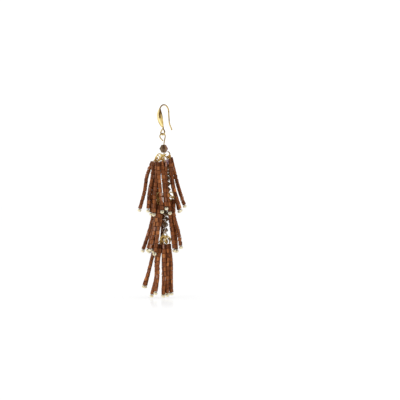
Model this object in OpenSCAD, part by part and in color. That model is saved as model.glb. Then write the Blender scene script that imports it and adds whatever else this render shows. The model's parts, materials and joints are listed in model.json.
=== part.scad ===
// Tassel earring: an ear hook with a leaf, a crown crystal, a crystal core and three tiers of bead strands.
// Millimetres. +Z is up, -Y is the leaf's face, and the origin is the inside top of the bow, where it hangs.

/* [Ear hook] */
// Thickness of the round ear wire
hook_wire_d = 0.8; // [0.7:0.05:0.9]
// Radius of the bow, to the middle of the wire
bow_r = 4.2; // [3.8:0.1:5]
// Length of the straight back leg
back_leg_len = 5; // [4:0.1:6.5]
// Lean of the back leg, away from the leaf
back_leg_lean = 5; // [3:1:10]
// Outward turn of the tip
tip_turn = 27; // [20:1:35]
// Length of the tip
tip_len = 2; // [1.4:0.1:3]
// Height of the leaf
leaf_h = 12.2; // [11:0.1:14]
// Width of the leaf
leaf_w = 3.8; // [3.2:0.1:4.8]
// Thickness of the leaf
leaf_t = 0.7; // [0.6:0.05:0.8]
// Radius of the leaf's curve along its length
leaf_bend_r = 11.3; // [10.4:0.1:14]
// Radius of the leaf's dome across its width
leaf_dome_r = 5; // [4:0.1:8]
// Radius of the drop-shaped loop under the leaf, to the middle of the wire
hook_loop_r = 1.5; // [1.4:0.05:1.8]
// Height from the middle of the loop's round up to its point
hook_loop_rise = 2.5; // [2.2:0.1:3]

/* [Eye pin and crown] */
// Thickness of the eye pin's wire
pin_wire_d = 0.7; // [0.6:0.05:0.75]
// Radius of the upper eye, to the middle of the wire
upper_eye_r = 1.75; // [1.6:0.05:1.9]
// Radius of the lower eye, to the middle of the wire
lower_eye_r = 1.7; // [1.6:0.05:1.8]
// Height from the upper eye's middle down to the crown crystal
upper_neck = 5; // [4.6:0.1:6.5]
// Height from the crown crystal down to the lower eye's middle
lower_neck = 1.1; // [1.1:0.1:3]
// Width of the crown crystal
crown_d = 5.3; // [4:0.1:5.6]
// Height of the crown crystal
crown_h = 4.7; // [3.5:0.1:5.5]
// Width of the crown crystal's tables
crown_table_d = 2.7; // [1.8:0.1:3.2]

/* [Crystal core] */
// Thickness of the core wires
core_wire_d = 0.5; // [0.4:0.05:0.55]
// Radius of a core wire's upper eye, to the middle of the wire
core_eye_r = 0.85; // [0.8:0.05:1]
// Radius of a core wire's lower eye, the tier's hub, to the middle of the wire
hub_eye_r = 1.6; // [1.5:0.05:1.7]
// Crystals on each core wire
core_count = 6; // [4:1:7]
// Width of a core crystal
core_d = 4; // [3:0.1:4.2]
// Height of a core crystal
core_h = 3; // [2:0.1:3.1]
// Width of a core crystal's tables
core_table_d = 1.8; // [1.4:0.1:2.4]
// Distance from one core crystal to the next
core_pitch = 3.3; // [3.1:0.05:3.6]

/* [Jump rings] */
// Radius of a jump ring, to the middle of the wire
ring_r = 1.775; // [1.7:0.025:1.85]
// Thickness of a jump ring's wire
ring_wire_d = 0.65; // [0.5:0.05:0.7]

/* [Bead strands] */
// Width of a strand's tube beads
bead_d = 2.1; // [1.6:0.05:2.15]
// Thickness of the thread that ties a strand to its ring
thread_d = 0.4; // [0.3:0.05:0.5]
// Width of the seed bead at a strand's end
end_bead_d = 2.3; // [1.8:0.1:2.5]
// Thickness of the seed bead at a strand's end
end_bead_t = 1.4; // [1.2:0.1:1.8]
// Width of the seed bead's hole
end_bead_hole_d = 0.9; // [0.6:0.05:1.1]

/* [Hidden] */
$fn = 48;
strand_counts = [13, 12, 12];

// Clearance where one piece hangs in another and round a wire in a drilled stone, and a joint's swelling
link_gap = 0.1;
bore_gap = 0.12;
joint_swell = 0.04;

// The bow and the leaf's arc lie in the plane of Y and Z, and run into each other at leaf_rise above level.
bow_z = hook_wire_d / 2 - bow_r;
leaf_rise = 12;
leaf_tip_rise = 2.3;
leaf_arc_y = (leaf_bend_r - bow_r) * cos(leaf_rise);
leaf_arc_z = bow_z - (leaf_bend_r - bow_r) * sin(leaf_rise);
leaf_top_z = bow_z + leaf_tip_rise;
leaf_foot_z = leaf_top_z - leaf_h;
leaf_foot_y = leaf_arc_y - sqrt(pow(leaf_bend_r, 2) - pow(leaf_arc_z - leaf_foot_z, 2));
leaf_lens_r = (pow(leaf_h, 2) + pow(leaf_w, 2)) / (4 * leaf_w);
solder_d = 1.1;
leg_bend_r = 6;
tip_return = 4;
tip_end_len = 0.3;

// The loop leans a little towards the leaf's face. Its point is at the leaf's foot.
hook_loop_lean = 6;
hook_loop_y = leaf_foot_y - hook_wire_d / 2;
hook_loop_taper = asin(hook_loop_r / hook_loop_rise);
pivot_y = hook_loop_y - (hook_loop_rise + hook_loop_r) * sin(hook_loop_lean);
pivot_z = leaf_foot_z - (hook_loop_rise + hook_loop_r) * cos(hook_loop_lean);

// The drop hangs in the hook's loop and is turned from the leaf's face. It is set out in its own frame:
// X across the tassel, -Y its front, both through the hook's origin.
drop_turn = 40;
hang_x = pivot_y * sin(drop_turn);
hang_y = pivot_y * cos(drop_turn);

// Each eye of the pin is P-shaped: the wire leans out from the stem, runs round the eye and back to the stem.
// [stem's distance from the eye's middle, lean of the wire, end of the round, tail, turn of the eye]
upper_eye = [0.8, 12, 48, 2, 25];
lower_eye = [(crown_table_d + lower_eye_r) / 2, -25, 75, 0.2, -20];
upper_eye_z = pivot_z + (hook_wire_d + pin_wire_d) / 2 + link_gap - upper_eye_r;
pin_x = hang_x + upper_eye[0] * cos(upper_eye[4]);
pin_y = hang_y + upper_eye[0] * sin(upper_eye[4]);
crown_top_z = upper_eye_z - upper_neck;
crown_foot_z = crown_top_z - crown_h;

// The hubs are the eyes that carry the three tiers: the pin's lower eye and the lower eye of each core wire.
core_top = core_eye_r + core_wire_d / 2 + link_gap;
core_foot = hub_eye_r + core_wire_d / 2 + link_gap;
core_len = core_top + (core_count - 1) * core_pitch + core_h + core_foot;
core_eye_turns = [70, 75];
hub_turns = [lower_eye[4], -15, 10];
core_leans = [[0.65, 1.4], [-3.3, -0.4]];
core_hangs = [0, -30];
hub_1 = [
    pin_x + lower_eye[0] * cos(hub_turns[0]),
    pin_y + lower_eye[0] * sin(hub_turns[0]),
    crown_foot_z - lower_neck
];
core_1 = hub_1 + hung(hub_turns[0], core_hangs[0], lower_eye_r - (pin_wire_d + core_wire_d) / 2 - link_gap);
hub_2 = core_1 + core_len * lean_way(core_leans[0]);
core_2 = hub_2 + hung(hub_turns[1], core_hangs[1], hub_eye_r - core_wire_d - link_gap);
hub_3 = core_2 + core_len * lean_way(core_leans[1]);
hubs = [hub_1, hub_2, hub_3];

// Jump rings of each tier, their middles from the hub in shares of ring_r: [x, y, z, tilt, turn]
rings = [
    [
        [-1.32, 0.10, -0.33, 65, 85],
        [-2.62, 0.15, -0.79, 5, 15],
        [-3.29, 0.32, -1.35, -5, -45],
        [-1.55, -0.97, -0.95, -20, 60]
    ],
    [
        [-1.35, 0.06, 0.06, 65, 10],
        [-2.82, -0.28, -0.11, 0, 20],
        [1.30, 0.23, 0.11, 15, -40],
        [0.96, 0.23, -0.85, -15, 55]
    ],
    [
        [-0.45, -0.85, -0.96, 25, 10],
        [0.34, -0.11, -1.30, -20, 75],
        [1.24, 0.17, -0.56, 50, -65],
        [-0.68, 0.23, -0.62, 30, 65]
    ]
];

// Strands of each tier: [ring, or 0 for the hub eye, angle of the tie round it, tilt of the end bead, route].
// The tilt turns the bead's hole from along the strand, at 0, to the tassel's front, at 90.
// A route's points run down the strand: x and y from the drop's frame, and z from the tier's hub.
strand_routes = [
    [
        [3, -45, 10, [[-7.2, -0.5, -4.8], [-10.3, -1, -13.2], [-11.7, -1.2, -22.2], [-14.5, -1, -32.5]]],
        [2, -60, 30, [[-6.3, -3.2, -5.1], [-7, -4.2, -13.8], [-8.7, -4.5, -22.8], [-9.4, -4.5, -32.5]]],
        [3, 5, 15, [[-4.6, -1.4, -5.6], [-5.6, -2.2, -14.4], [-7, -2.8, -24], [-7.6, -3, -34.7]]],
        [4, -50, 60, [[-4.4, -4.6, -4.8], [-4.5, -5.8, -14.4], [-5.3, -6.4, -24], [-5.9, -6.2, -34.7]]],
        [4, -75, 70, [[-3.3, -6.7, -5.4], [-2.8, -7.8, -14.4], [-1.9, -8, -23.4], [-1.1, -7.7, -33]]],
        [4, -25, 35, [[-1.2, -5.6, -4.8], [-0.4, -7, -13.2], [0.4, -7.4, -21.6], [1.4, -7.5, -31.1]]],
        [4, 10, 80, [[0.9, -4.6, -5.4], [1.1, -4.9, -15], [2.1, -5.4, -24], [3.4, -5.9, -33.9]]],
        [0, 50, 15, [[3.7, -4.2, -3.3], [4.6, -4.3, -12], [6.1, -4.4, -21], [9.6, -4.4, -32.5]]],
        [0, 66, 5, [[4.2, 0.8, -2.3], [6.4, 0.6, -11.4], [9, 0.3, -21], [12.1, 0, -30.3]]],
        [3, -70, 25, [[-5.3, 2.4, -5.4], [-5.8, 3.2, -15], [-5.9, 4.6, -24], [-6.4, 5.9, -33.3]]],
        [1, 60, 0, [[-2.9, 4.2, -5.4], [-3.2, 5.2, -15], [-3.5, 5.8, -24], [-3.5, 6.4, -33.3]]],
        [1, 90, 40, [[-0.2, 4.4, -5.4], [0.1, 5.8, -15], [0.4, 6.6, -24], [0.8, 6.9, -33.3]]],
        [0, 30, 10, [[2.8, 4, -5.4], [4.2, 4, -15], [6.4, 3.6, -24], [8.9, 3.4, -33.3]]]
    ],
    [
        [2, -60, 10, [[-5, 1, -4.8], [-6.9, 0.2, -13.8], [-9.3, -0.3, -22.8], [-12.5, -0.5, -32.4]]],
        [2, -25, 20, [[-4.8, -1.3, -5.4], [-5.4, -2.2, -14.4], [-7.1, -2.6, -22.8], [-9.4, -2.8, -31.9]]],
        [2, 0, 5, [[-4.1, -3.6, -6], [-4.7, -4.6, -15], [-6.2, -5.2, -24], [-8, -5.4, -31.9]]],
        [2, 25, 75, [[-2.9, -5.6, -6.6], [-3.2, -6.6, -15.6], [-3.9, -7, -24.6], [-5.3, -7, -33.7]]],
        [2, 50, 30, [[-1.6, -3.6, -6.6], [-2.3, -4.2, -15.6], [-4.3, -3.9, -24], [-6, -4, -32.2]]],
        [4, -50, 25, [[3.5, -3.4, -4.2], [3.6, -3.4, -13.2], [4.9, -3.4, -22.2], [6.1, -3.6, -31.9]]],
        [4, 0, 65, [[4.6, -0.2, -4.4], [5.4, -0.5, -13.2], [6.7, -0.6, -22.8], [7.3, -0.6, -31.9]]],
        [3, 45, 10, [[5.8, -2.6, -3], [6, -3, -12.6], [8.5, -3.2, -21.6], [10, -3, -30.2]]],
        [4, 45, 15, [[3.7, 2.4, -5], [4.6, 2.4, -14], [6.2, 2.6, -23], [7.4, 2, -32.5]]],
        [1, 20, 60, [[-0.2, 4.2, -5], [-0.6, 5, -14], [-1.2, 5.4, -23], [-1.8, 5.4, -32.5]]],
        [1, -10, 0, [[-2.9, 3.4, -5], [-3.2, 4.2, -14], [-4, 4.8, -23], [-5.4, 5.4, -32.5]]],
        [1, -45, 35, [[-5.2, 3.3, -5], [-5.9, 3.2, -14], [-7.4, 2.6, -23], [-8.8, 1.8, -32.5]]]
    ],
    [
        [4, 0, 5, [[-4.8, 0.6, -5.4], [-7.3, -0.6, -13.8], [-9.3, -0.8, -21.6], [-12, -0.8, -29.6]]],
        [4, -40, 10, [[-4, -1.8, -6], [-4.6, -3.6, -15], [-4.7, -4.2, -24.6], [-7.2, -4.2, -34.9]]],
        [1, -40, 15, [[-2, -3.4, -5.8], [-3.4, -5.8, -15.6], [-3.7, -6.3, -24.6], [-4.9, -6.2, -33.2]]],
        [1, 0, 10, [[0, -4.6, -5.8], [0.1, -6.2, -16.2], [0.1, -6.8, -25.2], [-0.4, -7, -34.9]]],
        [2, -40, 20, [[2, -3.4, -5.8], [2.3, -4.8, -15.6], [2, -5.4, -24.6], [2, -5.6, -34.2]]],
        [3, 0, 5, [[3.1, -1, -5.8], [4.2, -2.6, -15.6], [4.3, -3.2, -24.6], [4.5, -3.4, -33.8]]],
        [2, 0, 40, [[-0.4, -1.4, -6.6], [-0.3, -3.6, -15.6], [-0.2, -4.2, -24.6], [-0.4, -4.4, -33.6]]],
        [2, 50, 0, [[1, 0.8, -6.6], [1, 1, -15.6], [1, 1.2, -24.6], [1, 1.2, -33.4]]],
        [3, -40, 25, [[3.1, 1.6, -5.4], [3.4, 2, -14.6], [3.4, 2.2, -24], [3.4, 2.2, -33.4]]],
        [4, 40, 15, [[-3.2, 3.2, -5.6], [-3.8, 3.2, -13.6], [-4.4, 2.8, -21.6], [-4.8, 2.4, -29.9]]],
        [2, 80, 50, [[0.2, 3.6, -5.6], [0.2, 4.2, -14.6], [0.2, 4.6, -23.6], [0.2, 4.6, -33]]],
        [4, 20, 0, [[-5.6, 2.9, -5.4], [-7.4, 2.6, -13.8], [-9.2, 2.4, -21.6], [-11.2, 2.2, -29.9]]]
    ]
];
strand_sides = 8;
strand_steps = 2;
collar_h = 0.4;
end_bead_face_d = 1.9;

// Vector and link helpers
function unit(v) = v / norm(v);

// The way that a core wire hangs, leaning [toward +X, toward +Y] from straight down
function lean_way(lean) = [sin(lean[0]) * cos(lean[1]), sin(lean[1]), -cos(lean[0]) * cos(lean[1])];

// From an eye's middle to that of the core eye whose wire lies inside it, at an angle round from its bottom
function hung(turn, angle, r) =
    [r * sin(angle) * cos(turn), r * sin(angle) * sin(turn), -r * cos(angle) - core_eye_r];

// A point at radius r on a ring of this tilt and turn, at an angle round from its bottom
function on_ring(tilt, turn, angle, r) =
    let (
        across = r * sin(angle),
        down = r * cos(angle),
        back = down * sin(tilt)
    )
    [across * cos(turn) - back * sin(turn), across * sin(turn) + back * cos(turn), -down * cos(tilt)];

function ring_place(tier, i) = let (r = rings[tier][i]) hubs[tier] + ring_r * [r[0], r[1], r[2]];

// Where a strand's thread starts, just clear of the ring or hub eye that carries it
eye_tie_r = lower_eye_r + (pin_wire_d + thread_d) / 2 + link_gap;
ring_tie_r = ring_r + (ring_wire_d + thread_d) / 2 + link_gap;
function tie_point(tier, s) =
    s[0] == 0
        ? hubs[tier] + on_ring(0, hub_turns[tier], s[1], eye_tie_r)
        : let (r = rings[tier][s[0] - 1])
            ring_place(tier, s[0] - 1) + on_ring(r[3], r[4], s[1], ring_tie_r);

// A smooth curve through all of a route's points
function before(p, i) = i > 0 ? p[i - 1] : 2 * p[0] - p[1];
function after(p, i) = i < len(p) - 2 ? p[i + 2] : 2 * p[i + 1] - p[i];
function curve_point(p, i, t) =
    let (a = before(p, i), b = p[i], c = p[i + 1], d = after(p, i))
    0.5 * (2 * b + (c - a) * t + (2 * a - 5 * b + 4 * c - d) * t * t + (3 * b - a - 3 * c + d) * t * t * t);
function curve(p) = concat(
    [for (i = [0:len(p) - 2], k = [0:strand_steps - 1]) curve_point(p, i, k / strand_steps)],
    [p[len(p) - 1]]
);

// One ring of a swept strand, square to the way it runs
function strand_ring(middle, way, r) =
    let (side = unit([-way[2], 0, way[0]]), front = cross(way, side))
    [for (k = [0:strand_sides - 1])
        let (a = 360 * k / strand_sides)
        middle + r * (cos(a) * side + sin(a) * front)];

// A strand: its thread from the tie, then its tube beads as one swept bar
module strand_bar(tie, route) {
    line = curve(route);
    n = len(line);
    top_way = unit(line[1] - line[0]);
    collar = line[0] - collar_h * top_way;
    thread_way = unit(collar - tie);
    sections = concat(
        [strand_ring(tie, thread_way, thread_d / 2)],
        [strand_ring(collar, unit(thread_way + top_way), thread_d / 2)],
        [strand_ring(line[0], top_way, bead_d / 2)],
        [for (i = [1:n - 2]) strand_ring(line[i], unit(line[i + 1] - line[i - 1]), bead_d / 2)],
        [strand_ring(line[n - 1], unit(line[n - 1] - line[n - 2]), bead_d / 2)]
    );
    m = len(sections);
    polyhedron(
        points = [for (s = sections, p = s) p],
        faces = concat(
            [[for (k = [0:strand_sides - 1]) k]],
            [for (j = [0:m - 2], k = [0:strand_sides - 1])
                let (a = j * strand_sides, b = (k + 1) % strand_sides)
                [a + k, a + strand_sides + k, a + strand_sides + b, a + b]],
            [[for (k = [1:strand_sides]) m * strand_sides - k]]
        )
    );
}

// How far an end bead of this tilt reaches from its middle along the strand
function end_bead_reach(tilt) = (end_bead_t * cos(tilt) + end_bead_d * sin(tilt)) / 2;

// The drilled seed bead that stops a strand, clear of the strand's end
module end_bead(route, tilt) {
    n = len(route);
    way = unit(route[n - 1] - route[n - 2]);
    translate(route[n - 1] + (link_gap + end_bead_reach(tilt)) * way)
        rotate([asin(way[1]) + tilt, atan2(-way[0], -way[2]), 0])
            difference() {
                intersection() {
                    cylinder(d = end_bead_d, h = end_bead_t, center = true);
                    sphere(d = norm([end_bead_t, end_bead_face_d]));
                }
                cylinder(d = end_bead_hole_d, h = 2 * end_bead_t, center = true);
            }
}

module strand(tier, i) {
    s = strand_routes[tier - 1][i - 1];
    route = [for (p = s[3]) [p[0], p[1], hubs[tier - 1][2] + p[2]]];
    color([0.43, 0.21, 0.12]) rotate([0, 0, drop_turn]) {
        strand_bar(tie_point(tier - 1, s), route);
        end_bead(route, s[2]);
    }
}

module ring(tier, i) {
    r = rings[tier - 1][i - 1];
    color([0.78, 0.62, 0.3]) rotate([0, 0, drop_turn])
        translate(ring_place(tier - 1, i - 1)) rotate([r[3] + 90, 0, r[4]])
            wire_loop(ring_r, ring_wire_d);
}

// A closed round of wire, flat on the plane of X and Y
module wire_loop(r, wire_d) {
    rotate_extrude() translate([r, 0]) circle(d = wire_d);
}

// A length of wire between two points of the plane of X and Z
module wire_rod(p, q, wire_d) {
    way = q - p;
    translate([p[0], 0, p[1]]) rotate([0, atan2(way[0], way[1]), 0]) cylinder(d = wire_d, h = norm(way));
}

// The round end of a wire, or the ball that joins two stretches of it
module wire_ball(wire_d) {
    sphere(d = wire_d + joint_swell);
}

// A P-shaped eye in the plane of X and Z, its middle at the origin and its stem hanging on the +X side
module pin_eye(eye, r, stem_len) {
    lean = eye[1];
    start = r * [cos(lean), -sin(lean)];
    bend = [eye[0], start[1] - (start[0] - eye[0]) / tan(lean)];
    last = r * [-cos(eye[2]), -sin(eye[2])];
    tail = last + eye[3] * [sin(eye[2]), -cos(eye[2])];
    rotate([90, 0, 0]) rotate([0, 0, -lean]) rotate_extrude(angle = 180 + lean + eye[2])
        translate([r, 0]) circle(d = pin_wire_d);
    wire_rod(start, bend, pin_wire_d);
    wire_rod(bend, [eye[0], -stem_len], pin_wire_d);
    wire_rod(last, tail, pin_wire_d);
    for (p = [start, bend, last, tail])
        translate([p[0], 0, p[1]]) wire_ball(pin_wire_d);
}

module eye_pin() {
    middle_z = crown_top_z - crown_h / 2;
    color([0.78, 0.62, 0.3]) rotate([0, 0, drop_turn]) {
        translate([hang_x, hang_y, upper_eye_z]) rotate([0, 0, upper_eye[4]])
            pin_eye(upper_eye, upper_eye_r, upper_eye_z - middle_z);
        translate(hub_1) rotate([0, 180, lower_eye[4]])
            pin_eye(lower_eye, lower_eye_r, middle_z - hub_1[2]);
        translate([pin_x, pin_y, middle_z]) wire_ball(pin_wire_d);
    }
}

// A drilled stone with two tables and a ring of facets above and below its girdle
module stone(d, h, table_d, bore_d, sides) {
    difference() {
        union() {
            cylinder(d1 = d, d2 = table_d, h = h / 2, $fn = sides);
            mirror([0, 0, 1]) cylinder(d1 = d, d2 = table_d, h = h / 2, $fn = sides);
        }
        cylinder(d = bore_d, h = 2 * h, center = true);
    }
}

module crown_crystal() {
    color([0.3, 0.24, 0.18]) rotate([0, 0, drop_turn])
        translate([pin_x, pin_y, crown_top_z - crown_h / 2])
            stone(crown_d, crown_h, crown_table_d, pin_wire_d + 2 * bore_gap, 10);
}

// Puts its children on a core wire's own axis, from its upper eye's middle down
module on_core(place, lean) {
    rotate([0, 0, drop_turn]) translate(place) rotate([lean[1], -lean[0], 0]) children();
}

module core_wire(i) {
    place = i == 1 ? core_1 : core_2;
    color([0.78, 0.62, 0.3]) on_core(place, core_leans[i - 1]) {
        rotate([90, 0, core_eye_turns[i - 1]]) wire_loop(core_eye_r, core_wire_d);
        wire_rod([0, -core_eye_r], [0, hub_eye_r - core_len], core_wire_d);
        translate([0, 0, -core_len]) rotate([90, 0, hub_turns[i]]) wire_loop(hub_eye_r, core_wire_d);
    }
}

module core_crystals(i) {
    place = i == 1 ? core_1 : core_2;
    color([0.3, 0.24, 0.18]) on_core(place, core_leans[i - 1])
        for (k = [0:core_count - 1])
            translate([0, 0, -core_top - core_h / 2 - k * core_pitch]) rotate([0, 0, 17 * k])
                stone(core_d, core_h, core_table_d, core_wire_d + 2 * bore_gap, 8);
}

// A bend of ear wire in the plane of Y and Z, from a downward run, and what follows it
module leg_bend(turn) {
    side = turn < 0 ? -1 : 1;
    wire_ball(hook_wire_d);
    translate([0, side * leg_bend_r, 0]) {
        rotate([90, 0, 90]) rotate([0, 0, side > 0 ? 180 : turn]) rotate_extrude(angle = abs(turn))
            translate([leg_bend_r, 0]) circle(d = hook_wire_d);
        rotate([turn, 0, 0]) translate([0, -side * leg_bend_r, 0]) {
            wire_ball(hook_wire_d);
            children();
        }
    }
}

// A straight run of ear wire, downward, and what follows it
module leg_run(length) {
    translate([0, 0, -length]) {
        cylinder(d = hook_wire_d, h = length);
        children();
    }
}

// The bow over the ear, the back leg and its tip
module ear_wire() {
    translate([0, 0, bow_z]) {
        rotate([90, 0, 90]) rotate_extrude(angle = 180 - leaf_rise)
            translate([bow_r, 0]) circle(d = hook_wire_d);
        translate([0, bow_r, 0])
            leg_bend(back_leg_lean) leg_run(back_leg_len)
                leg_bend(tip_turn) leg_run(tip_len)
                    leg_bend(-tip_return) leg_run(tip_end_len)
                        wire_ball(hook_wire_d);
    }
}

// The leaf: a shell bent along its length and domed across, cut to a pointed oval
module leaf() {
    middle_z = leaf_top_z - leaf_h / 2;
    intersection() {
        translate([0, leaf_arc_y, leaf_arc_z]) rotate([0, 90, 0]) rotate_extrude()
            intersection() {
                translate([leaf_bend_r + leaf_t / 2 - leaf_dome_r, 0]) difference() {
                    circle(r = leaf_dome_r);
                    circle(r = leaf_dome_r - leaf_t);
                }
                translate([leaf_bend_r - leaf_dome_r / 2, -leaf_w]) square([leaf_dome_r, 2 * leaf_w]);
            }
        translate([0, leaf_arc_y, middle_z]) rotate([90, 0, 0]) linear_extrude(height = leaf_bend_r + leaf_t)
            intersection() {
                translate([leaf_lens_r - leaf_w / 2, 0]) circle(r = leaf_lens_r);
                translate([leaf_w / 2 - leaf_lens_r, 0]) circle(r = leaf_lens_r);
            }
    }
}

// A drop-shaped loop of ear wire in the plane of X and Z, hanging from its point at the origin
module drop_loop() {
    side = hook_loop_r * [cos(hook_loop_taper), sin(hook_loop_taper)];
    wire_ball(hook_wire_d);
    translate([0, 0, -hook_loop_rise]) {
        rotate([90, 0, 0]) rotate([0, 0, 180 - hook_loop_taper])
            rotate_extrude(angle = 180 + 2 * hook_loop_taper)
                translate([hook_loop_r, 0]) circle(d = hook_wire_d);
        for (x = [-1, 1]) {
            wire_rod([x * side[0], side[1]], [0, hook_loop_rise], hook_wire_d);
            translate([x * side[0], 0, side[1]]) wire_ball(hook_wire_d);
        }
    }
}

module ear_hook() {
    color([0.78, 0.62, 0.3]) {
        ear_wire();
        leaf();
        translate([0, leaf_t / 2 - bow_r * cos(leaf_rise), bow_z + bow_r * sin(leaf_rise)])
            sphere(d = solder_d);
        translate([0, hook_loop_y, leaf_foot_z]) rotate([-hook_loop_lean, 0, 0]) drop_loop();
    }
}

ear_hook();
eye_pin();
crown_crystal();
for (i = [1:2]) {
    core_wire(i);
    core_crystals(i);
}
for (tier = [1:3], i = [1:4])
    ring(tier, i);
for (tier = [1:3], i = [1:strand_counts[tier - 1]])
    strand(tier, i);
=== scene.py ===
import json
import math
import random

import bmesh
import bpy
from mathutils import Matrix, Vector


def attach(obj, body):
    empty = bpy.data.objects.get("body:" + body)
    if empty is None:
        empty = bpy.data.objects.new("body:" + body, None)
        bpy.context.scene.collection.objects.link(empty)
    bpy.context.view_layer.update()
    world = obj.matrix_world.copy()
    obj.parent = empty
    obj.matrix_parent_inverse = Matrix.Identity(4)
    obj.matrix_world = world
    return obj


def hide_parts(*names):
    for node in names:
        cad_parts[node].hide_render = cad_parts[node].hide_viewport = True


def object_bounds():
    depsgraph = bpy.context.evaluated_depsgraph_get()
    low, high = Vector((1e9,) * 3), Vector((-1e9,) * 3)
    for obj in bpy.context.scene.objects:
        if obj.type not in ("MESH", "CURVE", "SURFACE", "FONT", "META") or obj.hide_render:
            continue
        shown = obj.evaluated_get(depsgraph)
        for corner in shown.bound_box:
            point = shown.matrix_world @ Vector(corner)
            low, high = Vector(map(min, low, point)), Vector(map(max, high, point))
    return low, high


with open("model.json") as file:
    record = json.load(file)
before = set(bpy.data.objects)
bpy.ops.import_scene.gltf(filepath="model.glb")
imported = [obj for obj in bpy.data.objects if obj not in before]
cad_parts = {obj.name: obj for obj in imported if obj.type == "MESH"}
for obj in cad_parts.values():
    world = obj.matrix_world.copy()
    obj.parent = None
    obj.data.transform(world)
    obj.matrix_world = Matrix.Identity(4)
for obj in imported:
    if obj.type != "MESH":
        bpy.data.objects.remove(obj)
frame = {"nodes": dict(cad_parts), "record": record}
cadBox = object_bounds()
random.seed(7)

mm = 0.001


def turnBy(degrees, axis):
    return Matrix.Rotation(math.radians(degrees), 4, axis)


dropTurn = turnBy(40, "Z")  # the drop is set out turned from the hook's leaf
# The drop hangs at its joint, and its places below follow from there, in its own frame and in millimetres
hang = dropTurn.inverted() @ (Vector(frame["record"]["behaviour"]["joints"][0]["pos_m"]) / mm)
wires = {"hook": 0.8, "pin": 0.7, "core": 0.5, "ring": 0.65}
wireSmooth = 40  # bends of a wire's surface below this many degrees look round
linkGap = 0.1
scratchHeight = 0.02


# A shader effect that several finishes share: fine scratches as a height, and patches that vary the polish
def makeHandling():
    group = bpy.data.node_groups.new("handling", "ShaderNodeTree")
    for name, kind, way in [
        ("Vector", "NodeSocketVector", "INPUT"),
        ("Scratch Scale", "NodeSocketFloat", "INPUT"),
        ("Patch Scale", "NodeSocketFloat", "INPUT"),
        ("Polish", "NodeSocketFloat", "INPUT"),
        ("Spread", "NodeSocketFloat", "INPUT"),
        ("Height", "NodeSocketFloat", "OUTPUT"),
        ("Roughness", "NodeSocketFloat", "OUTPUT"),
        ("Patch", "NodeSocketFloat", "OUTPUT"),
    ]:
        group.interface.new_socket(name=name, in_out=way, socket_type=kind)
    nodes, links = group.nodes, group.links
    given, made = nodes.new("NodeGroupInput"), nodes.new("NodeGroupOutput")
    stretch = nodes.new("ShaderNodeMapping")
    stretch.inputs["Scale"].default_value = (1, 1, 0.12)  # scratches run down the piece
    scratch, patch = nodes.new("ShaderNodeTexNoise"), nodes.new("ShaderNodeTexNoise")
    scratch.inputs["Detail"].default_value = 3
    patch.inputs["Detail"].default_value = 2
    rough = nodes.new("ShaderNodeMath")
    rough.operation = "MULTIPLY_ADD"
    links.new(given.outputs["Vector"], stretch.inputs["Vector"])
    links.new(stretch.outputs["Vector"], scratch.inputs["Vector"])
    links.new(given.outputs["Scratch Scale"], scratch.inputs["Scale"])
    links.new(given.outputs["Vector"], patch.inputs["Vector"])
    links.new(given.outputs["Patch Scale"], patch.inputs["Scale"])
    links.new(patch.outputs["Fac"], rough.inputs[0])
    links.new(given.outputs["Spread"], rough.inputs[1])
    links.new(given.outputs["Polish"], rough.inputs[2])
    links.new(scratch.outputs["Fac"], made.inputs["Height"])
    links.new(rough.outputs["Value"], made.inputs["Roughness"])
    links.new(patch.outputs["Fac"], made.inputs["Patch"])
    return group


handling = makeHandling()


def newMaterial(name, sockets):
    material = bpy.data.materials.new(name)
    material.use_nodes = True
    shader = material.node_tree.nodes["Principled BSDF"]
    for socket, value in sockets.items():
        shader.inputs[socket].default_value = value
    return material, material.node_tree.nodes, material.node_tree.links, shader


# Places the shared effect, reading the piece's own place, and feeds its roughness and its height
def addHandling(nodes, links, shader, finish):
    place = nodes.new("ShaderNodeTexCoord")
    effect = nodes.new("ShaderNodeGroup")
    bump = nodes.new("ShaderNodeBump")
    effect.node_tree = handling
    effect.inputs["Scratch Scale"].default_value = finish["scratches"]
    effect.inputs["Patch Scale"].default_value = finish["patches"]
    effect.inputs["Polish"].default_value = finish["polish"]
    effect.inputs["Spread"].default_value = finish["spread"]
    bump.inputs["Strength"].default_value = finish["depth"]
    bump.inputs["Distance"].default_value = scratchHeight * mm
    links.new(place.outputs["Object"], effect.inputs["Vector"])
    links.new(effect.outputs["Roughness"], shader.inputs["Roughness"])
    links.new(effect.outputs["Height"], bump.inputs["Height"])
    links.new(bump.outputs["Normal"], shader.inputs["Normal"])
    return effect


def addRamp(nodes, links, source, target, stops):
    ramp = nodes.new("ShaderNodeValToRGB")
    ramp.color_ramp.elements.remove(ramp.color_ramp.elements[1])
    for i, (at, colour) in enumerate(stops):
        stop = ramp.color_ramp.elements[0] if i == 0 else ramp.color_ramp.elements.new(at)
        stop.position = at
        stop.color = (*colour, 1)
    links.new(source, ramp.inputs["Fac"])
    links.new(ramp.outputs["Color"], target)


# Colours by the tone that each of the piece's faces carries
def addToneRamp(nodes, links, shader, finish):
    tone = nodes.new("ShaderNodeAttribute")
    tone.attribute_name = "facetTone"
    stops = [(at, finish[tint]) for at, tint in finish["tints"]]
    addRamp(nodes, links, tone.outputs["Fac"], shader.inputs["Base Color"], stops)


goldFinish = {
    "light": (0.93, 0.81, 0.47),
    "deep": (0.84, 0.68, 0.33),
    "scratches": 9000,
    "patches": 500,
    "polish": 0.1,
    "spread": 0.1,
    "depth": 0.05,
    "metal": 1,
}
ringFinish = {
    "light": (1.0, 0.86, 0.4),
    "deep": (0.88, 0.6, 0.18),
    "scratches": 9000,
    "patches": 900,
    "polish": 0.3,
    "spread": 0.15,
    "depth": 0.05,
    "metal": 0.5,
}
champagneFinish = {
    "light": (1.0, 0.98, 0.8),
    "deep": (0.97, 0.9, 0.62),
    "scratches": 9000,
    "patches": 700,
    "polish": 0.16,
    "spread": 0.2,
    "depth": 0.1,
    "metal": 0.5,
}


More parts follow.
